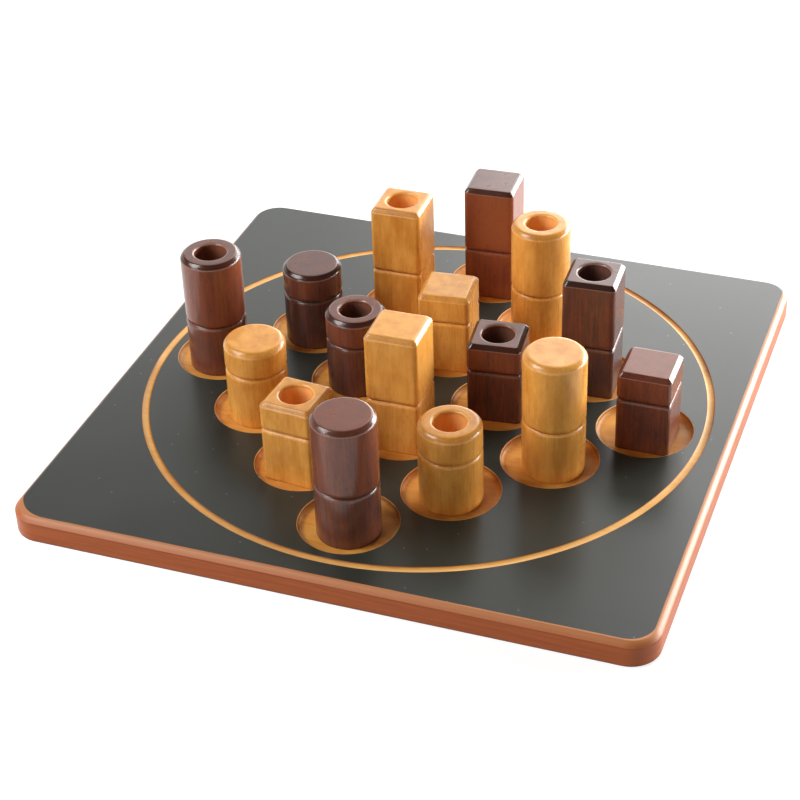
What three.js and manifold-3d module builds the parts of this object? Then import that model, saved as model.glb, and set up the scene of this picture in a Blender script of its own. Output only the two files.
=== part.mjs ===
// A square wooden game board with sixteen round recesses, and the sixteen pieces that stand in them.
// Millimetres, +Z up. The origin is the middle of the board's underside, and its sides run along X and Y.

import * as THREE from "three";
import { mergeVertices } from "three/addons/utils/BufferGeometryUtils.js";
import Module from "manifold-3d";

// Sizes of the pieces
const HOLE_D = 14; // hole drilled into the top of a hollow piece
const HOLE_DEPTH = 16;
const HOLE_EASE = 1; // rounding of the hole's rim
const SQUARE_WALL = 4.6; // wood between the hole and the flat side of a square piece
const ROUND_WALL = 6.25; // wood between the hole and the side of a round piece
const EDGE_R = 2; // upright edges of a square piece
const LOWER_H = 24.8; // foot to groove, alike on all pieces
const TALL_UPPER_H = 31.6; // groove to top
const SHORT_UPPER_H = 13;
const GROOVE_DEPTH = 1.2;
const GROOVE_REACH = 2; // height of each of the groove's two rounded shoulders
const TOP_CHAMFER = 1.9; // slope round the top edge
const FOOT_EASE = 0.5; // rounding of the bottom edge

// Sizes of the board
const RECESS_PLAY = 4.1; // free room on the recess floor round the widest piece
const RECESS_COVE = 0.8; // rounding between the recess floor and its wall
const RECESS_DEPTH = 2.6;
const FLOOR_THICK = 8.8; // wood under a recess
const RECESS_LAND = 4.9; // wood between two neighbouring recesses
const RING_LAND = 3.6; // wood between the outermost recesses and the ring groove
const RING_W = 3.4;
const RING_DEPTH = 1.3;
const RIM_LAND = 10.25; // wood between the ring groove and the board's side
const TOP_ROUND = 3; // rounding of the upper edge
const UNDER_EASE = 0.8; // rounding of the lower edge
const TOP_CORNER_R = 9.5; // corners of the flat top, inside the rounding

// Sizes that follow
const ROUND_R = HOLE_D / 2 + ROUND_WALL;
const SQUARE_HALF = HOLE_D / 2 + SQUARE_WALL;
const SQUARE_REACH = Math.SQRT2 * (SQUARE_HALF - EDGE_R) + EDGE_R;
const RECESS_R = Math.max(ROUND_R, SQUARE_REACH) + RECESS_PLAY + RECESS_COVE;
const PITCH = 2 * RECESS_R + RECESS_LAND;
const ROWS = 4;
const STEP = PITCH / Math.SQRT2; // the grid of recesses lies along the board's diagonals
const OUTER_RECESS = STEP * (ROWS - 1); // middle of the board to the middle of a corner recess
const RING_R = OUTER_RECESS + RECESS_R + RING_LAND + RING_W / 2;
const BOARD_HALF = RING_R + RING_W / 2 + RIM_LAND;
const BOARD_THICK = FLOOR_THICK + RECESS_DEPTH;

// How finely round forms are divided
const ROUND_STEPS = 24;
const RING_STEPS = 96;
const CORNER_STEPS = 6;
const EASE_STEPS = 3;
const PATH_STEPS = 1; // gives each arc of a profile two chords
const SPARE = 1; // how far a cutting form runs past the face that it cuts

// Finishes
const LACQUER = { color: 0x565955, roughness: 0.35, metalness: 0 };
const TONES = {
  dark: { color: 0x5b3226, roughness: 0.4, metalness: 0 },
  light: { color: 0xd8953f, roughness: 0.4, metalness: 0 },
};

// The pieces as they stand, row by row from the back of the grid to the front, each row from left to right.
// Drift is how far a piece stands from the middle of its recess, in shares of the free room along X and Y.
// Turn is how far it is turned, in degrees.
const STANDING = [
  [
    { tone: "dark", height: "tall", shape: "round", core: "hollow", drift: [-0.35, -0.35], turn: 0 },
    { tone: "dark", height: "short", shape: "round", core: "solid", drift: [-0.15, -0.2], turn: 0 },
    { tone: "light", height: "tall", shape: "square", core: "hollow", drift: [-0.45, 0.4], turn: 1 },
    { tone: "dark", height: "tall", shape: "square", core: "solid", drift: [0, -0.2], turn: 3 },
  ],
  [
    { tone: "light", height: "short", shape: "round", core: "solid", drift: [-0.2, -0.25], turn: 0 },
    { tone: "dark", height: "short", shape: "round", core: "hollow", drift: [-0.15, 0.3], turn: 0 },
    { tone: "light", height: "short", shape: "square", core: "solid", drift: [-0.2, -0.15], turn: 6 },
    { tone: "light", height: "tall", shape: "round", core: "hollow", drift: [-0.2, 0.1], turn: 0 },
  ],
  [
    { tone: "light", height: "short", shape: "square", core: "hollow", drift: [-0.1, -0.5], turn: -5 },
    { tone: "light", height: "tall", shape: "square", core: "solid", drift: [-0.1, -0.1], turn: 1 },
    { tone: "dark", height: "short", shape: "square", core: "hollow", drift: [-0.1, 0.15], turn: 6 },
    { tone: "dark", height: "tall", shape: "square", core: "hollow", drift: [0.1, -0.3], turn: 3 },
  ],
  [
    { tone: "dark", height: "tall", shape: "round", core: "solid", drift: [0.2, -0.4], turn: 0 },
    { tone: "light", height: "short", shape: "round", core: "hollow", drift: [0.1, -0.35], turn: 0 },
    { tone: "light", height: "tall", shape: "round", core: "solid", drift: [0.4, -0.2], turn: 0 },
    { tone: "dark", height: "short", shape: "square", core: "solid", drift: [0.4, -0.5], turn: 0 },
  ],
];

const wasm = await Module();
wasm.setup();

// A closed three.js geometry as a solid that can be cut and joined.
function solid(geometry) {
  geometry.deleteAttribute("normal");
  geometry.deleteAttribute("uv");
  const merged = mergeVertices(geometry);
  const vertProperties = merged.getAttribute("position").array;
  const triVerts = new Uint32Array(merged.index.array);
  return new wasm.Manifold(new wasm.Mesh({ numProp: 3, vertProperties, triVerts }));
}

// A solid as a named mesh with a finish of its own.
function mesh(name, body, finish) {
  const { vertProperties, triVerts } = body.getMesh();
  const geometry = new THREE.BufferGeometry();
  geometry.setAttribute("position", new THREE.BufferAttribute(vertProperties, 3));
  geometry.setIndex(new THREE.BufferAttribute(triVerts, 1));
  geometry.computeVertexNormals();
  const made = new THREE.Mesh(geometry, new THREE.MeshStandardMaterial(finish));
  made.name = name;
  return made;
}

// A profile of radius and height turned round the Z axis.
function turned(path, steps) {
  const geometry = new THREE.LatheGeometry(path.getPoints(PATH_STEPS), steps);
  return solid(geometry.rotateX(Math.PI / 2));
}

// A square with rounded corners, centred on the origin.
function roundedSquare(half, radius) {
  const shape = new THREE.Shape();
  const inner = half - radius;
  shape.absarc(inner, inner, radius, 0, Math.PI / 2);
  shape.absarc(-inner, inner, radius, Math.PI / 2, Math.PI);
  shape.absarc(-inner, -inner, radius, Math.PI, Math.PI * 1.5);
  shape.absarc(inner, -inner, radius, Math.PI * 1.5, Math.PI * 2);
  return shape.closePath();
}

// A rounded square block from one height to another, with both of its end edges rounded alike.
function easedBlock(half, radius, low, high, ease) {
  const geometry = new THREE.ExtrudeGeometry(roundedSquare(half, radius), {
    depth: high - low - 2 * ease,
    curveSegments: CORNER_STEPS,
    bevelThickness: ease,
    bevelSize: ease,
    bevelOffset: -ease,
    bevelSegments: EASE_STEPS,
  });
  return solid(geometry.translate(0, 0, low + ease));
}

// The cutter for one recess: a flat floor, a coved foot and an upright wall that runs past the board's top.
function recessCutter() {
  const path = new THREE.Path();
  path.moveTo(0, FLOOR_THICK);
  path.lineTo(RECESS_R - RECESS_COVE, FLOOR_THICK);
  path.absarc(RECESS_R - RECESS_COVE, FLOOR_THICK + RECESS_COVE, RECESS_COVE, -Math.PI / 2, 0);
  path.lineTo(RECESS_R, BOARD_THICK + SPARE);
  path.lineTo(0, BOARD_THICK + SPARE);
  return turned(path, ROUND_STEPS);
}

// The cutter for the ring groove: half an ellipse below the board's top, open above it.
function ringCutter() {
  const path = new THREE.Path();
  path.moveTo(RING_R - RING_W / 2, BOARD_THICK + SPARE);
  path.lineTo(RING_R - RING_W / 2, BOARD_THICK);
  path.absellipse(RING_R, BOARD_THICK, RING_W / 2, RING_DEPTH, -Math.PI, -Math.PI / 2);
  path.absellipse(RING_R, BOARD_THICK, RING_W / 2, RING_DEPTH, -Math.PI / 2, 0);
  path.lineTo(RING_R + RING_W / 2, BOARD_THICK + SPARE);
  path.lineTo(RING_R - RING_W / 2, BOARD_THICK + SPARE);
  return turned(path, RING_STEPS);
}

// The middle of a recess on the board.
function recessMiddle(column, row) {
  const across = (column - (ROWS - 1) / 2) * STEP;
  const down = (row - (ROWS - 1) / 2) * STEP;
  return new THREE.Vector2(across + down, across - down);
}

// The panel: its upper and lower edges have different roundings, so it is what two blocks share.
function makeBoard() {
  const radius = TOP_CORNER_R + TOP_ROUND;
  const upper = easedBlock(BOARD_HALF, radius, -TOP_ROUND - SPARE, BOARD_THICK, TOP_ROUND);
  const lower = easedBlock(BOARD_HALF, radius, 0, BOARD_THICK + UNDER_EASE + SPARE, UNDER_EASE);
  let body = upper.intersect(lower).subtract(ringCutter());
  const cutter = recessCutter();
  for (let row = 0; row < ROWS; row += 1) {
    for (let column = 0; column < ROWS; column += 1) {
      const middle = recessMiddle(column, row);
      body = body.subtract(cutter.translate([middle.x, middle.y, 0]));
    }
  }
  return mesh("board", body, LACQUER);
}

// Half of a piece's side view, from the middle of its foot to the middle of its top.
function sideView(half, height) {
  const path = new THREE.Path();
  const waist = half - GROOVE_DEPTH;
  path.moveTo(0, 0);
  path.lineTo(half - FOOT_EASE, 0);
  path.absarc(half - FOOT_EASE, FOOT_EASE, FOOT_EASE, -Math.PI / 2, 0);
  path.lineTo(half, LOWER_H - GROOVE_REACH);
  path.absellipse(waist, LOWER_H - GROOVE_REACH, GROOVE_DEPTH, GROOVE_REACH, 0, Math.PI / 2);
  path.absellipse(waist, LOWER_H + GROOVE_REACH, GROOVE_DEPTH, GROOVE_REACH, -Math.PI / 2, 0);
  path.lineTo(half, height - TOP_CHAMFER);
  path.lineTo(half - TOP_CHAMFER, height);
  path.lineTo(0, height);
  return path;
}

// The side view of a square piece, both halves, as wide as the piece and drawn through along Y.
function squareSlab(half, height) {
  const right = sideView(half, height).getPoints(PATH_STEPS).slice(1, -1);
  const left = right.map((point) => new THREE.Vector2(-point.x, point.y)).reverse();
  const depth = 2 * (half + SPARE);
  const outline = new THREE.Shape([...right, ...left]);
  const geometry = new THREE.ExtrudeGeometry(outline, { depth, bevelEnabled: false });
  return solid(geometry.translate(0, 0, -depth / 2).rotateX(Math.PI / 2));
}

// A square piece is what its front view, its side view and its rounded plan share.
function squareBlock(height) {
  const plan = new THREE.ExtrudeGeometry(roundedSquare(SQUARE_HALF, EDGE_R), {
    depth: height + 2 * SPARE,
    curveSegments: EASE_STEPS,
    bevelEnabled: false,
  });
  const slab = squareSlab(SQUARE_HALF, height);
  return slab.intersect(slab.rotate([0, 0, 90])).intersect(solid(plan.translate(0, 0, -SPARE)));
}

// The cutter for the hole in a hollow piece, with a rounded rim that opens onto the top.
function holeCutter(height) {
  const path = new THREE.Path();
  path.moveTo(0, height - HOLE_DEPTH);
  path.lineTo(HOLE_D / 2, height - HOLE_DEPTH);
  path.absarc(HOLE_D / 2 + HOLE_EASE, height - HOLE_EASE, HOLE_EASE, Math.PI, Math.PI / 2, true);
  path.lineTo(HOLE_D / 2 + HOLE_EASE, height + SPARE);
  path.lineTo(0, height + SPARE);
  return turned(path, ROUND_STEPS);
}

// One piece, standing on the floor of its recess.
function makePiece({ tone, height, shape, core, drift, turn }, column, row) {
  const tall = LOWER_H + (height === "tall" ? TALL_UPPER_H : SHORT_UPPER_H);
  let body = shape === "round" ? turned(sideView(ROUND_R, tall), ROUND_STEPS) : squareBlock(tall);
  if (core === "hollow") {
    body = body.subtract(holeCutter(tall));
  }
  const piece = mesh([tone, height, shape, core].join("_"), body, TONES[tone]);
  const middle = recessMiddle(column, row);
  piece.position.set(middle.x + drift[0] * RECESS_PLAY, middle.y + drift[1] * RECESS_PLAY, FLOOR_THICK);
  piece.rotation.z = THREE.MathUtils.degToRad(turn);
  return piece;
}

const game = new THREE.Group();
game.name = "game_board";
game.add(makeBoard());
STANDING.forEach((line, row) => {
  line.forEach((piece, column) => game.add(makePiece(piece, column, row)));
});

export default game;
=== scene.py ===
# %% [markdown]
# # A wooden board game, dressed for its picture
# The object is a square lacquered board with sixteen shallow round seats and sixteen loose wooden pieces.
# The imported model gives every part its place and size. Its solids could be shown as they are, but they
# carry no finish and few of the small roundings that catch the light. So this lesson builds a finer skin
# over each part, gives it wood, stain and lacquer made only from nodes, and lights it like a catalogue
# picture.

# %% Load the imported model
import math
import bpy
from mathutils import Matrix, Vector


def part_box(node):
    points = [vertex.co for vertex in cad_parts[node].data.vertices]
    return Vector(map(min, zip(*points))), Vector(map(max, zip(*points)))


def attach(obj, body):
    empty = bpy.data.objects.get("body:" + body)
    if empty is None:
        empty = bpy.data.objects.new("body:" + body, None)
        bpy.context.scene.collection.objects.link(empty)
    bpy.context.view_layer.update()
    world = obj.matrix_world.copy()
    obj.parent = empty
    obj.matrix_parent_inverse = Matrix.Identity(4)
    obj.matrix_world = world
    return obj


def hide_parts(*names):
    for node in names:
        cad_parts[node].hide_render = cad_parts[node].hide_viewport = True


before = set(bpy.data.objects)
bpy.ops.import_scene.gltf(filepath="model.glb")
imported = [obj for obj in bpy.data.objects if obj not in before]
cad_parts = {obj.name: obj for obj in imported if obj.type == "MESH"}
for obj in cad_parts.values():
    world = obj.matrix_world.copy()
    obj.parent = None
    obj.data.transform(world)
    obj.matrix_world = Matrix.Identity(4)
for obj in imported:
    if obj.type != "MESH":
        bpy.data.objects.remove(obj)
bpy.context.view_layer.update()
MM = 0.001

# %% [markdown]
# ## Helpers for every material
# Colours are easiest to read off a picture as sRGB hex values, but shaders calculate in linear light, so
# one function does that change. A node tree could be wired by hand in the editor. Here one small function
# adds a node, sets it and wires it, so that each finish below reads from top to bottom like a recipe.

# %% Colour and node helpers
def linear(hex_colour):
    """An sRGB hex colour as the linear RGBA that shaders use."""
    channels = [int(hex_colour[k:k + 2], 16) / 255 for k in (1, 3, 5)]
    return [c / 12.92 if c <= 0.04045 else ((c + 0.055) / 1.055) ** 2.4 for c in channels] + [1.0]


def add(tree, kind, inputs=None, **settings):
    """Adds a node, applies its settings, and feeds its inputs with values, outputs or whole nodes."""
    made = tree.nodes.new(kind)
    for name, value in settings.items():
        setattr(made, name, value)
    for name, value in (inputs or {}).items():
        if isinstance(value, bpy.types.Node):
            value = value.outputs[0]        # a whole node stands for its first output
        if isinstance(value, bpy.types.NodeSocket):
            tree.links.new(value, made.inputs[name])
        else:
            made.inputs[name].default_value = value
    return made


def new_material(name):
    """An empty node material, with its tree and the output that the finish is wired to."""
    material = bpy.data.materials.new(name)
    material.use_nodes = True
    material.node_tree.nodes.clear()
    return material, material.node_tree, add(material.node_tree, "ShaderNodeOutputMaterial")


FACTOR, COLOUR_A, COLOUR_B, COLOUR_OUT = 0, 6, 7, 2   # sockets of a Mix node that blends colours
VALUE_A, VALUE_B = 2, 3                               # and of one that blends numbers
print("a middle grey in linear light:", [round(c, 3) for c in linear("#808080")])

# %% [markdown]
# ## The camera
# The picture was taken from above the near side, a little to the right, with a long lens and the camera
# held slightly askew. A camera could be turned by hand until it looks right. Here its direction,
# distance, focal length and lens shift were fitted to the board's straight sides and its ring groove, so
# the pieces fall where the picture has them.

# %% Set the camera
AZIMUTH, ELEVATION, ROLL = (math.radians(angle) for angle in (19.499, 35.371, -1.227))
LOOK_AT = Vector((8.832, -7.583, 0)) * MM
DISTANCE = 864.713 * MM
FOCAL_PIXELS, FRAME_PIXELS = 1979.195, 800
MIDDLE_X, MIDDLE_Y = 442.2, 424.45          # where the lens axis meets the picture
FILM_WIDTH, NEAREST = 36, 0.05              # in mm, and the nearest thing that the camera sees in metres


def make_camera():
    """A camera that looks at the board as the picture does."""
    back = Vector((math.sin(AZIMUTH) * math.cos(ELEVATION), -math.cos(AZIMUTH) * math.cos(ELEVATION),
                   math.sin(ELEVATION)))
    level = (-back).cross(Vector((0, 0, 1))).normalized()
    upright = level.cross(-back)
    right = math.cos(ROLL) * level + math.sin(ROLL) * upright
    up = math.cos(ROLL) * upright - math.sin(ROLL) * level
    lens = bpy.data.cameras.new("picture_camera")
    lens.sensor_width = FILM_WIDTH
    lens.lens = FOCAL_PIXELS / FRAME_PIXELS * FILM_WIDTH
    lens.shift_x = (FRAME_PIXELS / 2 - MIDDLE_X) / FRAME_PIXELS
    lens.shift_y = (MIDDLE_Y - FRAME_PIXELS / 2) / FRAME_PIXELS
    lens.clip_start = NEAREST
    made = bpy.data.objects.new("picture_camera", lens)
    turned = Matrix((right, up, back)).transposed().to_4x4()
    made.matrix_world = Matrix.Translation(LOOK_AT + DISTANCE * back) @ turned
    bpy.context.scene.collection.objects.link(made)
    bpy.context.scene.camera = made
    return made


camera = make_camera()
stand = [round(value, 3) for value in camera.matrix_world.translation]
print("lens in mm:", round(camera.data.lens, 1), "at", stand)

# %% [markdown]
# ## Rings and arcs
# Every part here can be cut into level slices: circles for turned pieces, rounded squares for milled
# ones. They could be had from Blender's own cylinder and cube with bevels, but a slice written as a ring
# of points keeps every rounding at its measured size. An arc gives the points of a rounding seen from the
# side.

# %% Ring and arc helpers
def circle_ring(radius, z, angles):
    """A circle at one height."""
    return [(radius * math.cos(angle), radius * math.sin(angle), z) for angle in angles]


def square_ring(half, radius, z, corner_steps, side_steps):
    """A square with rounded corners at one height, walked anticlockwise."""
    points = []
    inner = half - radius
    quarter_turn = Matrix.Rotation(math.pi / 2, 2)
    for quarter in range(4):
        sign_x = 1 if quarter in (0, 3) else -1
        sign_y = 1 if quarter in (0, 1) else -1
        angles = [quarter * math.pi / 2 + k * math.pi / 2 / corner_steps for k in range(corner_steps + 1)]
        corner = [(sign_x * inner + radius * math.cos(a), sign_y * inner + radius * math.sin(a))
                  for a in angles]
        points += [(x, y, z) for x, y in corner]
        last, following = Vector(corner[-1]), quarter_turn @ Vector(corner[0])
        for k in range(1, side_steps):
            between = last.lerp(following, k / side_steps)
            points.append((between.x, between.y, z))
    return points


def arc(centre_x, centre_z, radius_x, radius_z, start, end, steps):
    """Points on part of an ellipse, angles in degrees, both ends included."""
    angles = [math.radians(start + (end - start) * k / steps) for k in range(steps + 1)]
    return [(centre_x + radius_x * math.cos(a), centre_z + radius_z * math.sin(a)) for a in angles]


print("a small square ring has", len(square_ring(11.6, 2, 0, 8, 8)), "points")

# %% [markdown]
# ## The white table
# The background of the picture is plain white. It is made as a wide sheet of paper that lies flat under
# the board and sweeps up far away, as in a studio, so no horizon shows from any side. A bright lamp could
# make it white, but would burn out the object too. So the paper is an ordinary pale surface that takes
# the soft shadow, with a glow that only the camera and reflections see. The glow is full far away and
# weaker near the board, where the lamps add the rest.

# %% Lay the paper
PAPER_FLAT, PAPER_REACH, PAPER_SWEEP = 1.0, 5.0, 2.6   # metres: inner ring, flat sheet, rising curve
PAPER_POINTS, SWEEP_STEPS = 64, 12
NEAR_GLOW, FAR_GLOW = 0.7, 1.0
GLOW_FROM, GLOW_TO = 0.6, 2.0               # metres from the middle between which the glow grows


def paper_mesh():
    """A round sheet that faces up and rises at its border."""
    angles = [2 * math.pi * k / PAPER_POINTS for k in range(PAPER_POINTS)]
    sweep = arc(PAPER_REACH, PAPER_SWEEP, PAPER_SWEEP, PAPER_SWEEP, -90, 0, SWEEP_STEPS)
    profile = [(PAPER_FLAT, 0.0)] + sweep
    faces = [tuple(range(PAPER_POINTS))]
    for level in range(len(sweep)):
        low, high = level * PAPER_POINTS, (level + 1) * PAPER_POINTS
        for k in range(PAPER_POINTS):
            after = (k + 1) % PAPER_POINTS
            faces.append((low + k, high + k, high + after, low + after))
    mesh = bpy.data.meshes.new("paper_floor")
    points = [point for radius, z in profile for point in circle_ring(radius, z, angles)]
    mesh.from_pydata(points, [], faces)
    mesh.shade_smooth()
    return mesh


def white_paper():
    """Uncoated white paper: to the eye plain white, without gloss, with a soft shadow on it."""
    material, tree, output = new_material("white_paper")
    ray = add(tree, "ShaderNodeLightPath").outputs
    mirrored = add(tree, "ShaderNodeMath", {0: ray["Is Glossy Ray"], 1: ray["Is Transmission Ray"]},
                   operation="MAXIMUM")
    seen = add(tree, "ShaderNodeMath", {0: ray["Is Camera Ray"], 1: mirrored}, operation="MAXIMUM")
    place = add(tree, "ShaderNodeTexCoord").outputs["Object"]
    away = add(tree, "ShaderNodeVectorMath", {0: place}, operation="LENGTH").outputs["Value"]
    full = add(tree, "ShaderNodeMapRange", {"Value": away, "From Min": GLOW_FROM, "From Max": GLOW_TO,
                                            "To Min": NEAR_GLOW, "To Max": FAR_GLOW})
    glow = add(tree, "ShaderNodeMath", {0: seen, 1: full}, operation="MULTIPLY")
    matte = add(tree, "ShaderNodeBsdfDiffuse", {"Color": linear("#B8B8B8")})
    light = add(tree, "ShaderNodeEmission", {"Color": linear("#FFFFFF"), "Strength": glow})
    both = add(tree, "ShaderNodeAddShader", {0: matte, 1: light})
    tree.links.new(both.outputs[0], output.inputs["Surface"])
    return material


paper = bpy.data.objects.new("paper_floor", paper_mesh())
paper.data.materials.append(white_paper())
bpy.context.scene.collection.objects.link(paper)
print("paper sheet:", [round(value, 1) for value in paper.dimensions], "m")

# %% [markdown]
# ## The lights
# The lacquer and the tops of the pieces grow paler towards the far right corner, so they mirror a wide
# bright screen that stands low behind the board, with two weaker ones beside and above it. A small window
# on its right gives the white glints on the right-hand edges, and a long low screen on the right
# brightens the right-hand sides. The shadows in the seats fall to the right, so the main lamp hangs on
# the left, and a low screen at the viewer's left lifts the front faces. An image of a room could light
# all this at once, but soft area lamps can be set one by one. A dim even world fills what they leave.

# %% Set up the soft lamps
SCREENS = (         # name, azimuth and elevation in degrees, distance, width and height in m, power in W
    ("back_screen", 13, 15, 1.5, 1.6, 0.7, 24),
    ("back_left_screen", -28, 24, 1.5, 0.9, 0.8, 3.5),
    ("high_back_screen", 8, 38, 1.5, 1.0, 0.5, 4.4),
    ("window_glint", 37, 16, 1.4, 0.4, 0.4, 8),
    ("left_lamp", -117, 47, 1.6, 0.7, 0.7, 17),
    ("near_left_screen", -145, 17, 1.6, 0.9, 0.5, 9),
    ("right_screen", 52, 9, 1.2, 1.2, 0.3, 23),
)
WORLD_LIGHT = 0.05


def make_screen(name, azimuth, elevation, distance, width, height, power):
    """A soft rectangular lamp aimed at the board; azimuth 0 is the far side and 90 the right."""
    turn, rise = math.radians(azimuth), math.radians(elevation)
    away = Vector((math.sin(turn) * math.cos(rise), math.cos(turn) * math.cos(rise), math.sin(rise)))
    lamp = bpy.data.lights.new(name, "AREA")
    lamp.shape = "RECTANGLE"
    lamp.size, lamp.size_y, lamp.energy = width, height, power
    screen = bpy.data.objects.new(name, lamp)
    aimed = away.to_track_quat("Z", "Y").to_matrix().to_4x4()
    screen.matrix_world = Matrix.Translation(away * distance) @ aimed
    bpy.context.scene.collection.objects.link(screen)
    return screen


screens = [make_screen(*each) for each in SCREENS]
world = bpy.data.worlds.new("dim_room")
bpy.context.scene.world = world
world.use_nodes = True
world.node_tree.nodes.clear()
room = add(world.node_tree, "ShaderNodeBackground", {"Color": linear("#FFFFFF"), "Strength": WORLD_LIGHT})
add(world.node_tree, "ShaderNodeOutputWorld", {"Surface": room})
bpy.context.scene.view_settings.view_transform = "Standard"
print("lamps:", [(screen.name, screen.data.energy) for screen in screens])

# %% [markdown]
# ## Honey-varnished beech and dark-stained beech
# The pieces are beech, a pale close-grained wood with short dark flecks, turned or milled and then
# sanded. Half of them wear a honey-coloured varnish and half a dark red-brown stain under a glossier
# coat. The eye sees soft streaks that run up the sides, a calmer and duller end grain on top, paler edges
# that are partly wear and partly painted highlight, and a darker groove that is partly stain and partly
# painted shade. A picture of wood could be wrapped round each piece, but it would show seams. One solid
# pattern stretched along the height gives sides and top together, because the top cuts across it.

# %% Make the wood of the pieces
NOISE_LOW, NOISE_HIGH = 0.3, 0.7            # most values of a noise lie between these
END_LOW, END_HIGH = 0.8, 0.98               # how far up a face looks where end grain begins and is full
END_CALM = 0.3                              # how much of the streaks and flecks end grain shows
END_SHEEN = 0.265                           # end grain drinks the varnish and stays duller than the sides
FLECK_LOW, FLECK_HIGH, FLECK_SHARE = 0.58, 0.74, 0.35    # only the peaks of a noise become flecks
STREAK_SWING, FIGURE_MIDDLE, SHEEN_SWING = 0.26, 0.45, 0.08


def varnished_beech(name, pale, deep, fleck, wear_and_highlight_colour, stain_and_shade_colour, end_depth, patchy, gloss):
    """Stained, varnished beech: streaks, flecks, clouds; edges paler by wear and painted highlight, groove
    and slope darker by stain and painted shade.
    """
    material, tree, output = new_material(name)
    spot = add(tree, "ShaderNodeTexCoord").outputs
    plank = add(tree, "ShaderNodeAttribute", attribute_name="plank").outputs["Vector"]
    stain_and_shade = add(tree, "ShaderNodeAttribute", attribute_name="stain_and_shade").outputs["Fac"]
    tone = add(tree, "ShaderNodeAttribute", attribute_name="tone").outputs["Fac"]
    log = add(tree, "ShaderNodeVectorMath", {0: spot["Object"], 1: plank}, operation="ADD")
    patterns = {}
    for label, across, along, detail in (
            ("streak", 0.8, 16, 3),         # streaks 0.8 mm wide and 16 mm long
            ("fleck", 0.45, 3, 1),          # flecks 0.45 mm wide and 3 mm long
            ("cloud", 5, 15, 3)):           # broad patches where the stain took more or less
        sizes = [1 / (across * MM), 1 / (across * MM), 1 / (along * MM)]
        place = add(tree, "ShaderNodeVectorMath", {0: log, 1: sizes}, operation="MULTIPLY")
        patterns[label] = add(tree, "ShaderNodeTexNoise", {"Vector": place, "Scale": 1, "Detail": detail,
                                                           "Roughness": 0.55})
    facing = add(tree, "ShaderNodeSeparateXYZ", {0: spot["Normal"]}).outputs["Z"]
    end_grain = add(tree, "ShaderNodeMapRange", {
        "Value": facing, "From Min": END_LOW, "From Max": END_HIGH})
    quiet = add(tree, "ShaderNodeMapRange", {"Value": end_grain, "To Min": 1.0, "To Max": END_CALM})
    streaks = add(tree, "ShaderNodeMapRange", {
        "Value": patterns["streak"], "From Min": NOISE_LOW, "From Max": NOISE_HIGH,
        "To Min": -STREAK_SWING, "To Max": STREAK_SWING}, clamp=False)
    calmed = add(tree, "ShaderNodeMath", {0: streaks, 1: quiet}, operation="MULTIPLY")
    clouds = add(tree, "ShaderNodeMapRange", {
        "Value": patterns["cloud"], "From Min": NOISE_LOW, "From Max": NOISE_HIGH,
        "To Min": FIGURE_MIDDLE - patchy, "To Max": FIGURE_MIDDLE + patchy}, clamp=False)
    figure = add(tree, "ShaderNodeMath", {0: calmed, 1: clouds}, operation="ADD")
    # the stain a point took, with painted shade below the groove, deepens its colour
    soaked_and_shaded = add(tree, "ShaderNodeMath", {0: end_grain, 1: end_depth, 2: stain_and_shade}, operation="MULTIPLY_ADD")
    grain = add(tree, "ShaderNodeMath", {0: figure, 1: soaked_and_shaded}, operation="ADD", use_clamp=True)
    body = add(tree, "ShaderNodeMix", {FACTOR: grain, COLOUR_A: linear(pale), COLOUR_B: linear(deep)},
               data_type="RGBA").outputs[COLOUR_OUT]
    specks = add(tree, "ShaderNodeMapRange", {
        "Value": patterns["fleck"], "From Min": FLECK_LOW, "From Max": FLECK_HIGH,
        "To Min": 0.0, "To Max": FLECK_SHARE})
    sparse = add(tree, "ShaderNodeMath", {0: specks, 1: quiet}, operation="MULTIPLY")
    flecked = add(tree, "ShaderNodeMix", {FACTOR: sparse, COLOUR_A: body, COLOUR_B: linear(fleck)},
                  data_type="RGBA").outputs[COLOUR_OUT]
    # paler edges and hole rims: partly wear, partly painted highlight, and painted light inside the holes
    paler_mix = add(tree, "ShaderNodeMapRange", {"Value": tone, "From Max": 1.0, "To Max": 1.0})
    edged = add(tree, "ShaderNodeMix", {FACTOR: paler_mix, COLOUR_A: flecked, COLOUR_B: linear(wear_and_highlight_colour)},
                data_type="RGBA").outputs[COLOUR_OUT]
    # painted shade, partly stain: tone below zero darkens the groove and the top slope
    stain_and_shade_mix = add(tree, "ShaderNodeMapRange", {"Value": tone, "From Max": -1.0, "To Max": 0.85})
    colour = add(tree, "ShaderNodeMix", {FACTOR: stain_and_shade_mix, COLOUR_A: edged, COLOUR_B: linear(stain_and_shade_colour)},
                 data_type="RGBA").outputs[COLOUR_OUT]
    sheen = add(tree, "ShaderNodeMapRange", {
        "Value": patterns["cloud"], "From Min": NOISE_LOW, "From Max": NOISE_HIGH,
        "To Min": gloss, "To Max": gloss + SHEEN_SWING})
    dulled = add(tree, "ShaderNodeMath", {0: end_grain, 1: END_SHEEN - gloss, 2: sheen},
                 operation="MULTIPLY_ADD")
    relief = add(tree, "ShaderNodeMath", {0: calmed, 1: sparse}, operation="SUBTRACT")
    bump = add(tree, "ShaderNodeBump", {"Height": relief, "Strength": 0.4, "Distance": 0.08 * MM})
    shader = add(tree, "ShaderNodeBsdfPrincipled", {
        "Base Color": colour, "Roughness": dulled, "IOR": 1.5, "Normal": bump})
    tree.links.new(shader.outputs[0], output.inputs["Surface"])
    return material


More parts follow.
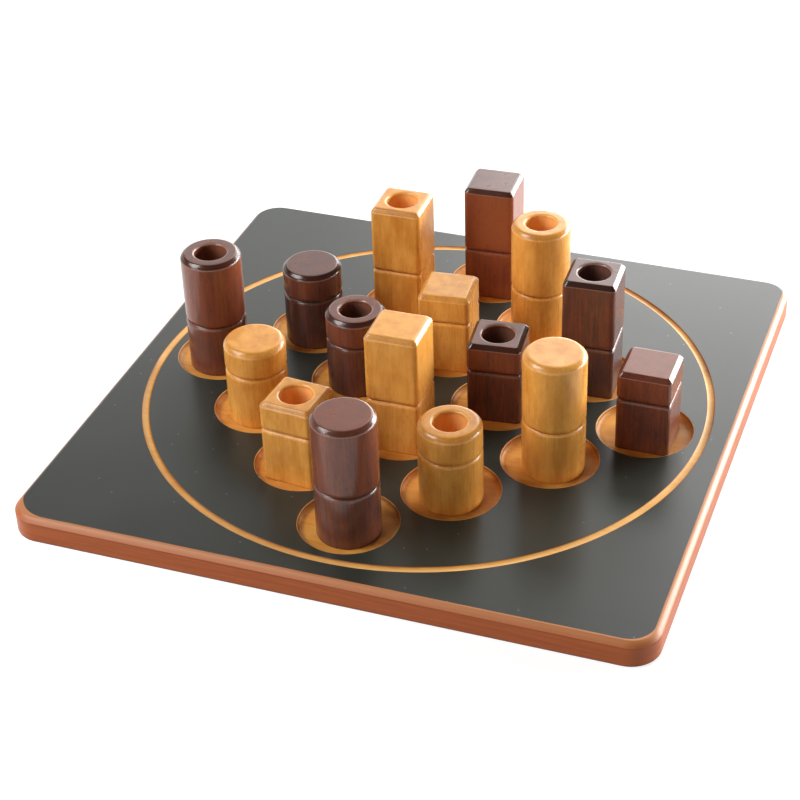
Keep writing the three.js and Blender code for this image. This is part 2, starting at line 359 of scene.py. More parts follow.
# Each wood's pale edge colour is partly wear and partly painted highlight, and its dark groove colour partly
# stain and partly painted shade.
WOODS = {
    "light": varnished_beech("honey_varnished_beech", pale="#F0AE54", deep="#D28A36", fleck="#B26A24",
                             wear_and_highlight_colour="#FBBA70", stain_and_shade_colour="#8A4516", end_depth=0.15, patchy=0.45, gloss=0.22),
    "dark": varnished_beech("dark_stained_beech", pale="#884B33", deep="#523A35", fleck="#3C2622",
                            wear_and_highlight_colour="#A48474", stain_and_shade_colour="#1C0F0C", end_depth=0.1, patchy=0.2, gloss=0.16),
}
print("woods:", [wood.name for wood in WOODS.values()])

# %% [markdown]
# ## The side of a piece
# Seen from the side every piece is the same: a small rounding at the foot, a lower part, a groove whose
# two rounded shoulders meet in a crease, an upper part, and a sloped top edge with its own corners
# softened. Bevel modifiers could round the edges, but the groove and the slope need their own curves. So
# the outline is written once, as how far the side stands in from full width at each height, and used for
# circles and for rounded squares. Each height also carries a tone for the finish: above zero where
# handling has rubbed an edge and where highlight lines are painted, below zero where stain has gathered
# and where shade is painted into the groove and the slope.

# %% Describe the side view
EDGE_R, FOOT_EASE = 2.0, 0.5
SLOPE, SLOPE_STEPS = 1.8, 5                 # leg of the sloped top edge, and steps round each corner of it
SLOPE_EASE = {"light_round": 2.3, "light_square": 1.6,          # how softly these corners are rounded
              "dark_round": 1.6, "dark_square": 0.9}
GROOVE_Z, GROOVE_DEPTH, GROOVE_REACH = 24.8, 1.2, 2.0
HOLD = 0.25                                 # a ring this far inside a flat keeps its shading flat
RIM_TONE = {"light": -0.35, "dark": -0.9}   # the slope is cut across the grain and drinks more stain; it is also painted darker as painted shade
PALE_RIMS = {"dark_tall_round_solid": -0.5, "dark_short_square_solid": -0.45,
             "light_tall_round_solid": -0.15, "light_short_round_solid": -0.15}
WEAR_AND_GLINT_TONE = 0.3                             # and its two borders are painted paler: rubbed wear and painted highlight lines


def slope_in(ease):
    """How far in from the side the flat top begins, in mm."""
    return SLOPE + ease * math.tan(math.pi / 8)


def slope_tone(step, rim_tone):
    """The tone at one step up the sloped edge: its borders are paler by wear and painted highlight, its
    middle darker by stain and painted shade.
    """
    last = 2 * SLOPE_STEPS
    if step in (1, 2, last - 1, last):
        return WEAR_AND_GLINT_TONE
    return rim_tone if 2 < step < last - 1 else 0.0


def side_view(height, ease, rim_tone):
    """(inset, z, tone) up the side of a piece, in mm."""
    top_in = slope_in(ease)
    foot = [(FOOT_EASE + HOLD, 0.0)] + arc(FOOT_EASE, FOOT_EASE, -FOOT_EASE, FOOT_EASE, -90, 0, 4)
    below = arc(GROOVE_DEPTH, GROOVE_Z - GROOVE_REACH, -GROOVE_DEPTH, GROOVE_REACH, 0, 90, 8)
    above = arc(GROOVE_DEPTH, GROOVE_Z + GROOVE_REACH, -GROOVE_DEPTH, GROOVE_REACH, -90, 0, 8)[1:]
    slope = arc(ease, height - top_in, -ease, ease, 0, 45, SLOPE_STEPS)
    slope += arc(top_in, height - ease, -ease, ease, 45, 90, SLOPE_STEPS)
    view = [(inset, z, 0.0) for inset, z in foot]
    view += [(0.0, FOOT_EASE + HOLD, 0.0), (0.0, GROOVE_Z - GROOVE_REACH - HOLD, 0.0)]
    # painted shade in the groove, partly stain gathered there: darker towards its crease
    view += [(inset, z, -(inset / GROOVE_DEPTH) ** 3) for inset, z in below + above]
    view += [(0.0, GROOVE_Z + GROOVE_REACH + HOLD, 0.0), (0.0, height - top_in - HOLD, 0.0)]
    view += [(inset, z, slope_tone(step, rim_tone)) for step, (inset, z) in enumerate(slope)]
    return view + [(top_in + HOLD, height, 0.0)]


print("a tall side view has", len(side_view(56.4, 1, 0)), "rings")

# %% [markdown]
# ## The hole in a hollow piece
# Half of the pieces have a hole drilled into the top, with a softened rim. A Boolean could drill it, but
# the stack of rings can simply go on: over the rim and down the wall to the floor. The rim carries a
# painted highlight line, and the light holes are painted paler inside than the sides, as painted light.

# %% Describe the hole
HOLE_R, HOLE_DEPTH, HOLE_EASE, RIM_STEPS = 7.0, 16.0, 1.0, 6
HOLE_FADE = 1.0                             # mm below the rim at which the wall has its own tone
HOLE_TONES = {"light": (0.6, 1.0), "dark": (0.55, 0.15)}   # at the rim, a painted highlight line, and on the wall of a hole, painted light


def hole_view(height, rim_tone, wall_tone):
    """(radius, z, tone) from the rim of the hole down to its floor, in mm."""
    rim = arc(HOLE_R + HOLE_EASE, height - HOLE_EASE, HOLE_EASE, HOLE_EASE, 90, 180, RIM_STEPS)
    floor = height - HOLE_DEPTH
    view = [(HOLE_R + HOLE_EASE + HOLD, height, 0.0)]
    for step, (radius, z) in enumerate(rim):
        # painted highlight: the middle of the rim is paler
        view.append((radius, z, rim_tone if 0 < step < RIM_STEPS - 1 else 0.0))
    view += [(HOLE_R, height - HOLE_EASE - HOLE_FADE, wall_tone), (HOLE_R, floor + HOLD, wall_tone)]
    return view + [(HOLE_R, floor, wall_tone), (HOLE_R - HOLD, floor, wall_tone)]


print("a hole has", len(hole_view(56.4, 0, 0)), "rings")

# %% [markdown]
# ## Skinning a form from its rings
# A loft skins a stack of rings with quads and closes its ends. Blender's Bridge tool could do it too, but
# here each point also has to carry its ring's tone to the material, and a few lines do both. Smooth
# shading follows, with creases kept sharp.

# %% Loft helpers
CREASE = 40                                 # degrees beyond which an edge stays sharp


def loft(name, rings, tones, looped=False):
    """Skins rings of equal count with quads. Open stacks get end faces, looped ones join end to start."""
    count = len(rings[0])
    faces = []
    for level in range(len(rings) if looped else len(rings) - 1):
        low, high = level * count, (level + 1) % len(rings) * count
        for k in range(count):
            after = (k + 1) % count
            faces.append((low + k, low + after, high + after, high + k))
    if not looped:
        faces.append(tuple(reversed(range(count))))
        faces.append(tuple(range((len(rings) - 1) * count, len(rings) * count)))
    mesh = bpy.data.meshes.new(name)
    mesh.from_pydata([point for ring in rings for point in ring], [], faces)
    marks = mesh.attributes.new("tone", "FLOAT", "POINT")
    marks.data.foreach_set("value", [tone for tone in tones for k in range(count)])
    mesh.update()
    return mesh


def in_metres(rings):
    """Rings given in mm, in metres."""
    return [[(x * MM, y * MM, z * MM) for x, y, z in ring] for ring in rings]


def smooth(mesh):
    """Smooth shading with creases kept sharp."""
    mesh.shade_smooth()
    mesh.set_sharp_from_angle(angle=math.radians(CREASE))


print("edges over", CREASE, "degrees stay sharp")

# %% [markdown]
# ## How each piece took the stain, and the painted shade below its groove
# No two pieces look the same. Each was cut from its own place in the log, so its grain differs, and took
# the stain more or less than its neighbour. The lower part is painted darker, as painted shade, and some
# tops drank still more. One material per piece could show that, but then sixteen finishes would have to
# agree. Two numbers stored on the mesh let all pieces share the two woods.

# %% Mark the grain, the stain and the painted shade
FOOT_SHADE = {"light": 0.1, "dark": 0.3}    # painted shade: the part below the groove is darker
EXTRA_DEPTH = {                             # how much more or less stain a piece took than the rest
    "dark_tall_square_solid": -0.5, "dark_tall_round_solid": -0.05, "dark_tall_round_hollow": -0.3,
    "dark_short_square_solid": -0.45, "dark_short_square_hollow": 0.15, "dark_tall_square_hollow": 0.1,
    "light_short_square_solid": -0.3, "light_short_square_hollow": 0.2}
TOP_DEPTH = {"dark_tall_square_solid": 0.8, "dark_tall_round_hollow": 0.5}   # tops that drank still more
CROWN = 0.1                                 # mm below the top that still count as the top
SHARE_SWING, SHARE_STEP = 0.15, 2.4         # how far the stain differs, and a step that never repeats


def mark_grain(mesh, node, number, stain, height):
    """Stores each point's place in the log, in metres, and how much stain it took, with painted shade below
    the groove.
    """
    place = [0.013 + 0.0007 * number, 0.017 * math.sin(number), 0.31 * number]   # apart in every direction
    plank = mesh.attributes.new("plank", "FLOAT_VECTOR", "POINT")
    plank.data.foreach_set("vector", place * len(mesh.vertices))
    took = SHARE_SWING * math.sin(SHARE_STEP * number) + EXTRA_DEPTH.get(node, 0)
    depths = []
    for point in mesh.vertices:
        # painted shade: points below the groove are darkened
        foot = FOOT_SHADE[stain] if point.co.z < GROOVE_Z * MM else 0
        top = TOP_DEPTH.get(node, 0) if point.co.z > (height - CROWN) * MM else 0
        depths.append(took + foot + top)
    stain_and_shade = mesh.attributes.new("stain_and_shade", "FLOAT", "POINT")
    stain_and_shade.data.foreach_set("value", depths)


print("pieces that took more or less stain:", len(EXTRA_DEPTH))

# %% [markdown]
# ## The sixteen pieces
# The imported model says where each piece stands, how tall it is and, through its name, what was chosen for
# it: light or dark, tall or short, round or square, solid or hollow. The sixteen could be modelled one by
# one, but they differ only in these choices, so one function makes them all. Only the turn of the square
# ones is written here.

# %% Build the pieces
ROUND_STEPS, CORNER_STEPS, SIDE_STEPS = 96, 8, 12
TOP_CORNER, CORNER_CLOSE = 0.6, 0.6         # corner of a square top, and how fast corners tighten to it
TURNS = {"light_tall_square_hollow": 1, "dark_tall_square_solid": 3, "light_short_square_solid": 6,
         "light_short_square_hollow": -5, "light_tall_square_solid": 1, "dark_short_square_hollow": 6,
         "dark_tall_square_hollow": 3, "dark_short_square_solid": 0}       # degrees


def piece_rings(shape, full, ease, view, hole):
    """The rings of a piece from its foot to its top, and then down its hole."""
    if shape == "round":
        angles = [2 * math.pi * k / ROUND_STEPS for k in range(ROUND_STEPS)]
        rings = [circle_ring(full - inset, z, angles) for inset, z, tone in view]
    else:
        top = square_ring(full - slope_in(ease), TOP_CORNER, 0, CORNER_STEPS, SIDE_STEPS)
        angles = [math.atan2(y, x) for x, y, z in top]
        rings = [square_ring(full - inset, EDGE_R - CORNER_CLOSE * inset, z, CORNER_STEPS, SIDE_STEPS)
                 for inset, z, tone in view]
    return rings + [circle_ring(radius, z, angles) for radius, z, tone in hole]


def make_piece(node, number):
    """A fine piece over one CAD node."""
    stain, _, shape, core = node.split("_")
    low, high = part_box(node)
    height, full = (high.z - low.z) / MM, (high.x - low.x) / 2 / MM
    turn, ease = math.radians(TURNS.get(node, 0)), SLOPE_EASE[stain + "_" + shape]
    if shape == "square":                   # the box of a turned square is wider than the square
        full = (full - EDGE_R) / (math.cos(turn) + math.sin(abs(turn))) + EDGE_R
    view = side_view(height, ease, PALE_RIMS.get(node, RIM_TONE[stain]))
    hole = hole_view(height, *HOLE_TONES[stain]) if core == "hollow" else []
    rings = piece_rings(shape, full, ease, view, hole)
    mesh = loft("fine_" + node, in_metres(rings), [tone for size, z, tone in view + hole])
    mark_grain(mesh, node, number, stain, height)
    smooth(mesh)
    mesh.materials.append(WOODS[stain])
    piece = bpy.data.objects.new("fine_" + node, mesh)
    piece.location = ((low.x + high.x) / 2, (low.y + high.y) / 2, low.z)
    piece.rotation_euler.z = turn
    bpy.context.scene.collection.objects.link(piece)
    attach(piece, node)
    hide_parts(node)
    return piece


piece_nodes = sorted(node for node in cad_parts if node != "board")
pieces = [make_piece(node, number) for number, node in enumerate(piece_nodes)]
print(len(pieces), "pieces,", sum(len(piece.data.polygons) for piece in pieces), "faces")

# %% [markdown]
# ## The lacquered top and the sanded edge
# The board is a beech panel. Its top was sprayed with a dark green-grey lacquer, and its edge was then
# sanded back and stained red-brown. The lacquer ends in a line that wanders a little, lies not quite in
# the middle of the panel, and has rounder corners at the near left than at the far right. The line could
# be cut into the mesh, but it is only paint, so it is drawn in the material as a rounded field with a
# soft border.

# %% Make the lacquered top
FIELD_HALF = 132.85                         # the lacquered field, in mm
FIELD_CORNER, CORNER_SPREAD = 10.5, 5.0     # its corners: rounder at the near left, tighter at the far right
FIELD_SHIFT = (-0.8, 0.8)                   # how far it lies from the middle of the panel
BORDER_WANDER, BORDER_SOFT = 0.12, 0.12     # how far its border strays, and half of its softness
PALE_BAND_TO, STAINED_FROM = 1.8, 3.2          # mm outside it where the pale band ends and stain is full: sanding, and painted light
PEEL, MOTTLE, WANDER, DUST = 1.6, 28, 7, 9  # mm: orange peel, sheen patches, border waves, dust spacing
SPECK_CORE, SPECK_RIM, SPECK_PALE = 0.025, 0.05, 0.3     # size in shares of that spacing, and strength
SPECK_CHANCE = 0.9                          # one place in ten has a speck
EDGE_SHEEN = 0.45                           # roughness of the sanded edge; the lacquer is glossier


def lacquered_panel():
    """Sprayed dark lacquer, semi-gloss with a faint orange peel and dust, over a red-brown edge with a pale
    band of sanding and painted light.
    """
    material, tree, output = new_material("dark_lacquer_and_stained_edge")
    place = add(tree, "ShaderNodeTexCoord").outputs["Object"]
    middle = add(tree, "ShaderNodeVectorMath", {0: place, 1: [shift * MM for shift in FIELD_SHIFT] + [0]},
                 operation="SUBTRACT")
    folded = add(tree, "ShaderNodeVectorMath", {0: middle}, operation="ABSOLUTE")
    slant = add(tree, "ShaderNodeVectorMath", {0: place, 1: (1, 1, 0)}, operation="DOT_PRODUCT")
    corner = add(tree, "ShaderNodeMapRange", {
        "Value": slant.outputs["Value"], "From Min": -2 * FIELD_HALF * MM, "From Max": 2 * FIELD_HALF * MM,
        "To Min": (FIELD_CORNER + CORNER_SPREAD) * MM, "To Max": (FIELD_CORNER - CORNER_SPREAD) * MM})
    sides = [FIELD_HALF * MM, FIELD_HALF * MM, 1.0]
    over = add(tree, "ShaderNodeVectorMath", {0: folded, 1: sides}, operation="SUBTRACT")
    past = add(tree, "ShaderNodeVectorMath", {0: over, 1: corner}, operation="ADD")
    outside = add(tree, "ShaderNodeVectorMath", {0: past, 1: (0, 0, 0)}, operation="MAXIMUM")
    length = add(tree, "ShaderNodeVectorMath", {0: outside}, operation="LENGTH").outputs["Value"]
    reach = add(tree, "ShaderNodeMath", {0: length, 1: corner}, operation="SUBTRACT")
    wander = add(tree, "ShaderNodeTexNoise", {"Vector": place, "Scale": 1 / (WANDER * MM), "Detail": 2})
    wobble = add(tree, "ShaderNodeMapRange", {"Value": wander, "To Min": -BORDER_WANDER * MM,
                                              "To Max": BORDER_WANDER * MM})
    ragged = add(tree, "ShaderNodeMath", {0: reach, 1: wobble}, operation="ADD")
    lacquered = add(tree, "ShaderNodeMapRange", {
        "Value": ragged, "From Min": -BORDER_SOFT * MM, "From Max": BORDER_SOFT * MM,
        "To Min": 1.0, "To Max": 0.0})
    # painted light, partly sanding: the band just outside the lacquer is paler
    sanded_and_lit = add(tree, "ShaderNodeMapRange", {
        "Value": ragged, "From Min": PALE_BAND_TO * MM, "From Max": STAINED_FROM * MM,
        "To Min": 1.0, "To Max": 0.0})
    edge = add(tree, "ShaderNodeMix", {
        FACTOR: sanded_and_lit, COLOUR_A: linear("#B4602C"), COLOUR_B: linear("#BE7A4A")},
        data_type="RGBA").outputs[COLOUR_OUT]
    mottle = add(tree, "ShaderNodeTexNoise", {"Vector": place, "Scale": 1 / (MOTTLE * MM), "Detail": 3})
    sprayed = add(tree, "ShaderNodeMix", {
        FACTOR: mottle, COLOUR_A: linear("#282B26"), COLOUR_B: linear("#353730")},
        data_type="RGBA").outputs[COLOUR_OUT]
    dust = add(tree, "ShaderNodeTexVoronoi", {"Vector": place, "Scale": 1 / (DUST * MM)},
               voronoi_dimensions="2D")
    near = add(tree, "ShaderNodeMapRange", {
        "Value": dust.outputs["Distance"], "From Min": SPECK_CORE, "From Max": SPECK_RIM,
        "To Min": SPECK_PALE, "To Max": 0.0})
    chance = add(tree, "ShaderNodeSeparateColor", {"Color": dust.outputs["Color"]})
    chosen = add(tree, "ShaderNodeMath", {0: chance, 1: SPECK_CHANCE}, operation="GREATER_THAN")
    speck = add(tree, "ShaderNodeMath", {0: near, 1: chosen}, operation="MULTIPLY")
    dusty = add(tree, "ShaderNodeMix", {FACTOR: speck, COLOUR_A: sprayed, COLOUR_B: linear("#A8ABA4")},
                data_type="RGBA").outputs[COLOUR_OUT]
    colour = add(tree, "ShaderNodeMix", {FACTOR: lacquered, COLOUR_A: edge, COLOUR_B: dusty},
                 data_type="RGBA").outputs[COLOUR_OUT]
    sheen = add(tree, "ShaderNodeMapRange", {"Value": mottle, "From Min": NOISE_LOW, "From Max": NOISE_HIGH,
                                             "To Min": 0.3, "To Max": 0.36})
    gloss = add(tree, "ShaderNodeMix", {FACTOR: lacquered, VALUE_A: EDGE_SHEEN, VALUE_B: sheen},
                data_type="FLOAT")
    peel = add(tree, "ShaderNodeTexNoise", {"Vector": place, "Scale": 1 / (PEEL * MM), "Detail": 2})
    bump = add(tree, "ShaderNodeBump", {"Height": peel, "Strength": 0.5, "Distance": 0.03 * MM})
    shader = add(tree, "ShaderNodeBsdfPrincipled", {
        "Base Color": colour, "Roughness": gloss, "IOR": 1.5, "Normal": bump})
    tree.links.new(shader.outputs[0], output.inputs["Surface"])
    return material


lacquered_top = lacquered_panel()
print("top:", lacquered_top.name, "with", len(lacquered_top.node_tree.nodes), "nodes")

# %% [markdown]
# ## The stained side
# The upright side of the panel is beech under the same red-brown stain. The eye sees long streaks along
# the board, little gloss, and a darker foot, which is painted shade. It could share the material of the
# top, but its grain runs another way and its stain follows the edge, so it has its own.

# %% Make the stained side
def stained_side():
    """Red-brown stain on the upright side: matte, with long grain, painted shade at the foot and a darker
    line below the upper edge.
    """
    material, tree, output = new_material("matte_stained_side")
    place = add(tree, "ShaderNodeTexCoord").outputs["Object"]
    tone = add(tree, "ShaderNodeAttribute", attribute_name="tone").outputs["Fac"]
    sizes = [1 / (size * MM) for size in (34, 34, 1.4)]   # streaks 34 mm long and 1.4 mm high
    along = add(tree, "ShaderNodeVectorMath", {0: place, 1: sizes}, operation="MULTIPLY")
    streak = add(tree, "ShaderNodeTexNoise", {"Vector": along, "Scale": 1, "Detail": 4, "Roughness": 0.6})
    grain = add(tree, "ShaderNodeMapRange", {
        "Value": streak, "From Min": NOISE_LOW, "From Max": NOISE_HIGH})
    stain = add(tree, "ShaderNodeMix", {
        FACTOR: grain, COLOUR_A: linear("#B85E28"), COLOUR_B: linear("#A04E22")},
        data_type="RGBA").outputs[COLOUR_OUT]
    # painted shade at the foot, and a darker line below the upper edge
    stain_and_shade_mix = add(tree, "ShaderNodeMapRange", {"Value": tone, "From Max": -1.0, "To Max": 0.8})
    colour = add(tree, "ShaderNodeMix", {FACTOR: stain_and_shade_mix, COLOUR_A: stain, COLOUR_B: linear("#5C2A12")},
                 data_type="RGBA").outputs[COLOUR_OUT]
    sheen = add(tree, "ShaderNodeMapRange", {"Value": grain, "To Min": 0.32, "To Max": 0.42})
    bump = add(tree, "ShaderNodeBump", {"Height": streak, "Strength": 0.4, "Distance": 0.15 * MM})
    shader = add(tree, "ShaderNodeBsdfPrincipled", {
        "Base Color": colour, "Roughness": sheen, "IOR": 1.5, "Specular IOR Level": 0.3, "Normal": bump})
    tree.links.new(shader.outputs[0], output.inputs["Surface"])
    return material


upright_side = stained_side()
print("side:", upright_side.name, "with", len(upright_side.node_tree.nodes), "nodes")

# %% [markdown]
# ## The routed wood
# The seats and the ring were routed last, down to bare beech that got the honey varnish. The eye sees
# streaks that run across the whole panel, a pale floor, walls painted darker as painted shade, and a
# rubbed lip. The wood of the pieces could be used again, but its grain stands upright, and here it lies
# flat.

# %% Make the routed wood
BLOTCH = 14                                 # mm: patches where the varnish soaked in


def routed_beech():
    """Bare beech where the router went: honey varnish, long streaks, walls darker by painted shade."""
    material, tree, output = new_material("routed_honey_beech")
    place = add(tree, "ShaderNodeTexCoord").outputs["Object"]
    tone = add(tree, "ShaderNodeAttribute", attribute_name="tone").outputs["Fac"]
    sizes = [1 / (size * MM) for size in (26, 1.6, 26)]   # streaks 26 mm long and 1.6 mm wide
    along = add(tree, "ShaderNodeVectorMath", {0: place, 1: sizes}, operation="MULTIPLY")
    streak = add(tree, "ShaderNodeTexNoise", {"Vector": along, "Scale": 1, "Detail": 4, "Roughness": 0.6})
    blotch = add(tree, "ShaderNodeTexNoise", {"Vector": place, "Scale": 1 / (BLOTCH * MM), "Detail": 2})
    both = add(tree, "ShaderNodeMath", {0: streak, 1: 0.7, 2: blotch}, operation="MULTIPLY_ADD")
    grain = add(tree, "ShaderNodeMapRange", {"Value": both, "From Min": 0.6, "From Max": 1.1})
    body = add(tree, "ShaderNodeMix", {
        FACTOR: grain, COLOUR_A: linear("#EDAC55"), COLOUR_B: linear("#CE8634")},
        data_type="RGBA").outputs[COLOUR_OUT]
    paler_mix = add(tree, "ShaderNodeMapRange", {"Value": tone, "From Max": 1.0, "To Max": 0.7})
    edged = add(tree, "ShaderNodeMix", {FACTOR: paler_mix, COLOUR_A: body, COLOUR_B: linear("#F0CE90")},
                data_type="RGBA").outputs[COLOUR_OUT]
    # painted shade: tone below zero darkens the seat walls and the ring walls that face the near left
    stain_and_shade_mix = add(tree, "ShaderNodeMapRange", {"Value": tone, "From Max": -1.0, "To Max": 0.8})
    colour = add(tree, "ShaderNodeMix", {FACTOR: stain_and_shade_mix, COLOUR_A: edged, COLOUR_B: linear("#6E3A14")},
                 data_type="RGBA").outputs[COLOUR_OUT]
    sheen = add(tree, "ShaderNodeMapRange", {"Value": grain, "To Min": 0.45, "To Max": 0.6})
    bump = add(tree, "ShaderNodeBump", {"Height": both, "Strength": 0.4, "Distance": 0.12 * MM})
    shader = add(tree, "ShaderNodeBsdfPrincipled", {
        "Base Color": colour, "Roughness": sheen, "IOR": 1.5, "Specular IOR Level": 0.25, "Normal": bump})
    tree.links.new(shader.outputs[0], output.inputs["Surface"])
    return material


routed_wood = routed_beech()
print("seats:", routed_wood.name, "with", len(routed_wood.node_tree.nodes), "nodes")

# %% [markdown]
# ## The panel
# The uncut panel is one loft of rounded squares: a small rounding underneath, an upright side, and an
# upper edge that was sanded to a soft slope, between a flat chamfer and a full round. A bevelled cube
# would come close, but its corner and its edge could not have their own curves. The side takes the
# stained finish and all above it the lacquer.

# %% Build the panel
BAND_IN, BAND_DOWN, BAND_FLAT = 2.3, 2.1, 1.35    # the sanded edge: 1 is a chamfer, 2 a full round
BAND_STEPS, PANEL_STEPS, UNDER_STEPS = 10, 16, 4
UNDER_EASE, CORNER_R = 0.8, 12.5
LINE_FROM, LINE_TO, LINE_TONE = 0.9, 0.3, -0.4    # darker in a thin line just below the sanded edge
TOP, SIDE = 0, 1                                  # the panel's material slots


def panel_mesh(half, thick):
    """The uncut panel. Its tone is below zero at the foot, as painted shade, and in a thin line below the
    upper edge.
    """
    below, power = thick - BAND_DOWN, 2 / BAND_FLAT
    under = [(UNDER_EASE + HOLD, 0.0)]
    under += arc(UNDER_EASE, UNDER_EASE, -UNDER_EASE, UNDER_EASE, -90, 0, UNDER_STEPS)
    angles = [math.radians(90 * step / BAND_STEPS) for step in range(BAND_STEPS)]
    band = [(BAND_IN * (1 - math.cos(a) ** power), below + BAND_DOWN * math.sin(a) ** power)
            for a in angles]
    band += [(BAND_IN, thick), (BAND_IN + HOLD, thick)]
    # painted shade: the rounding under the foot is darkened
    levels = [(inset, z, -1.0) for inset, z in under]
    levels += [(0.0, UNDER_EASE + HOLD, 0.0), (0.0, below - LINE_FROM, 0.0)]
    levels += [(0.0, below - LINE_TO, LINE_TONE)]
    levels += [(inset, z, LINE_TONE) for inset, z in band]
    rings = [square_ring(half - inset, CORNER_R - inset, z, PANEL_STEPS, 1) for inset, z, tone in levels]
    mesh = loft("fine_board", in_metres(rings), [tone for inset, z, tone in levels])
    for finish in (lacquered_top, upright_side, routed_wood):
        mesh.materials.append(finish)
    for face in mesh.polygons:
        face.material_index = SIDE if face.center.z < below * MM else TOP
    return mesh


board_low, board_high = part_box("board")
HALF, THICK = (board_high.x - board_low.x) / 2 / MM, (board_high.z - board_low.z) / MM
board = bpy.data.objects.new("fine_board", panel_mesh(HALF, THICK))
bpy.context.scene.collection.objects.link(board)
print("uncut panel in mm:", [round(value / MM, 1) for value in board.dimensions])

# %% [markdown]
# ## The cutters
# The seats and the ring are cut as on a real router: one turned cutter for each seat, with a small cove
# at its foot and a fine flare where it leaves the top, and a ball-nosed bit swung round for the ring. The
# seats could be lofted into the panel, but a grid that fits round holes in a square is far harder to lay
# out than a cutter.

# %% Shape the cutters
SEAT_R, SEAT_FLOOR, SEAT_COVE, RIM_EASE = 20.48, 8.8, 2.0, 0.35
PITCH = 2 * SEAT_R + 4.9                    # the rows run along the board's diagonals
RING_R, RING_W, RING_DEPTH = 123.0, 3.3, 0.6
SEAT_STEPS, RING_STEPS = 96, 360
SPARE = 2.0                                 # how far a cutter stands above the panel


def seat_profile(thick):
    """(radius, z) from the floor of a seat up past its lip."""
    floor = [(SEAT_R - SEAT_COVE - HOLD, SEAT_FLOOR)]
    cove = arc(SEAT_R - SEAT_COVE, SEAT_FLOOR + SEAT_COVE, SEAT_COVE, SEAT_COVE, -90, 0, 6)
    lip = arc(SEAT_R + RIM_EASE, thick - RIM_EASE, -RIM_EASE, RIM_EASE, 0, 90, 4)
    return floor + cove + lip + [(SEAT_R + RIM_EASE, thick + SPARE)]


def ring_profile(thick):
    """(radius, z) across the groove, as a ball-nosed bit leaves it, and up past both lips."""
    half = RING_W / 2
    bit = (half ** 2 + RING_DEPTH ** 2) / (2 * RING_DEPTH)      # radius of the bit that cuts this groove
    swing = math.degrees(math.asin(half / bit))
    groove = arc(RING_R, thick - RING_DEPTH + bit, bit, bit, -90 - swing, -90 + swing, 14)
    return [(RING_R - half, thick + SPARE)] + groove + [(RING_R + half, thick + SPARE)]


def cutter_meshes(thick):
    """The cutters of the sixteen seats and of the ring, each a closed solid."""
    meshes = []
    angles = [2 * math.pi * k / SEAT_STEPS for k in range(SEAT_STEPS)]
    seat = seat_profile(thick)
    for column in range(4):
        for row in range(4):
            across, down = (column - 1.5) * PITCH / math.sqrt(2), (row - 1.5) * PITCH / math.sqrt(2)
            rings = [circle_ring(radius, z, angles) for radius, z in seat]
            rings = [[(x + across + down, y + across - down, z) for x, y, z in ring] for ring in rings]
            meshes.append(loft("seat_cutter", in_metres(rings), [0.0] * len(rings)))
    angles = [2 * math.pi * k / RING_STEPS for k in range(RING_STEPS)]
    rings = [circle_ring(radius, z, angles) for radius, z in ring_profile(thick)]
    meshes.append(loft("ring_cutter", in_metres(rings), [0.0] * len(rings), looped=True))
    return meshes


def join(name, meshes):
    """Several meshes as one object."""
    objects = [bpy.data.objects.new(name, mesh) for mesh in meshes]
    for each in objects:
        bpy.context.scene.collection.objects.link(each)
    with bpy.context.temp_override(active_object=objects[0], selected_editable_objects=objects):
        bpy.ops.object.join()
    return objects[0]


cutter = join("board_cutter", cutter_meshes(THICK))
cutter.data.materials.append(routed_wood)
print("cutter:", len(cutter.data.polygons), "faces")

# %% [markdown]
# ## Routing the board
# One Boolean takes all the cutters away, and the cut faces keep the cutter's finish. The tones that a
# cutter carries don't come through a Boolean reliably, so the stain and the painted shade in the seats
# and the ring are set by place after the cut. A seat's wall is painted darker towards its lip, as painted
# shade, and in the ring the walls that face the near left are painted darker, as painted shade.

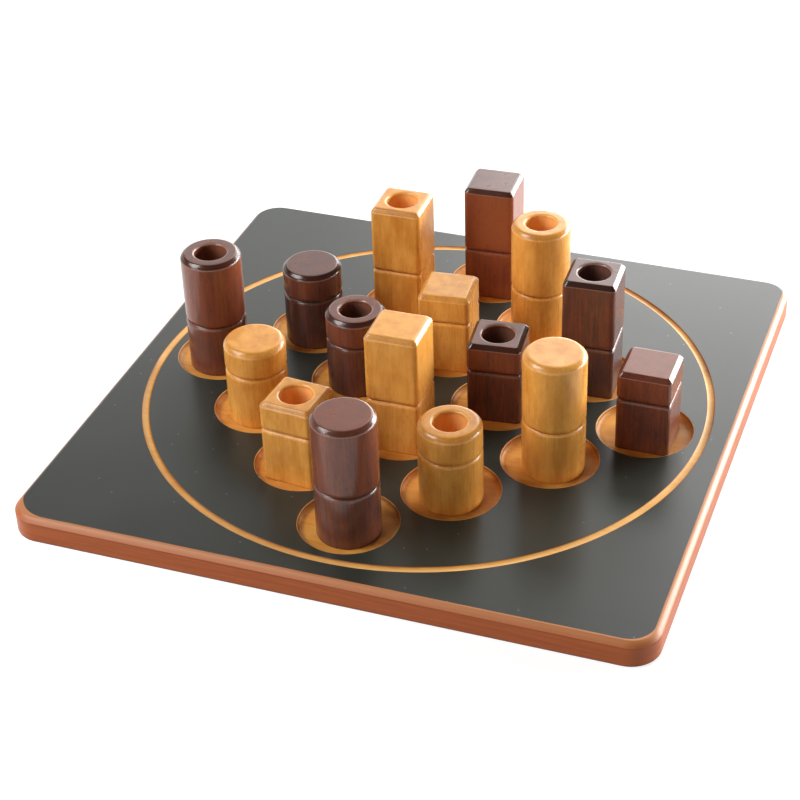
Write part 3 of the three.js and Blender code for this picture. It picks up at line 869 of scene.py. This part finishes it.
# %% Cut the seats and the ring
WALL_SHADE, LIP_TONE = 0.9, 0.3             # painted shade: how dark the wall of a seat grows; and how rubbed its lip is
RING_TONE, RING_LIP, RING_LIP_SHARP = 0.6, 1.6, 7    # a pale groove whose stain rises steeply at its lips
RING_MARGIN = 1.01                          # of half the ring's width
SHADED_FACING, FACING_SHADE = (-0.6, -0.8), 1.5       # painted shade: ring walls that face this way, the near left, are painted darker by this much


def routed_tone(x, y, z, thick):
    """The tone at a routed point: below zero where stain stayed and where shade is painted, above where
    handling wore it paler.
    """
    radius = math.hypot(x, y)
    out = (radius - RING_R) / (RING_W / 2)
    if abs(out) < RING_MARGIN:
        # painted shade: ring walls that face the near left are darkened
        facing = -out * (x * SHADED_FACING[0] + y * SHADED_FACING[1]) / radius
        return max(RING_TONE - RING_LIP * abs(out) ** RING_LIP_SHARP - FACING_SHADE * max(facing, 0), -1)
    if z > thick - RIM_EASE / 2:
        return LIP_TONE
    # painted shade: a seat's wall is darker towards its lip
    return -WALL_SHADE * (z - SEAT_FLOOR) / (thick - SEAT_FLOOR)


def route(panel, cutters, half, thick):
    """Cuts the panel for good and sets the tone of the routed points."""
    cut = panel.modifiers.new("routed", "BOOLEAN")
    cut.operation, cut.solver, cut.object, cut.material_mode = "DIFFERENCE", "EXACT", cutters, "TRANSFER"
    shaped = bpy.data.meshes.new_from_object(panel.evaluated_get(bpy.context.evaluated_depsgraph_get()))
    panel.modifiers.clear()
    bpy.data.objects.remove(cutters)
    for tone, point in zip(shaped.attributes["tone"].data, shaped.vertices):
        x, y, z = point.co / MM
        if max(abs(x), abs(y)) < half - BAND_IN - 2 * HOLD:
            tone.value = routed_tone(x, y, z, thick)
    panel.data = shaped


def sharpen_borders(mesh):
    """Makes an edge sharp where two finishes meet."""
    finish_of = {}
    for face in mesh.polygons:
        for key in face.edge_keys:
            finish_of.setdefault(key, set()).add(face.material_index)
    for edge in mesh.edges:
        if len(finish_of[edge.key]) > 1:
            edge.use_edge_sharp = True


route(board, cutter, HALF, THICK)
smooth(board.data)
sharpen_borders(board.data)
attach(board, "board")
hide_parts("board")
print("board:", len(board.data.polygons), "faces,", [finish.name for finish in board.data.materials])
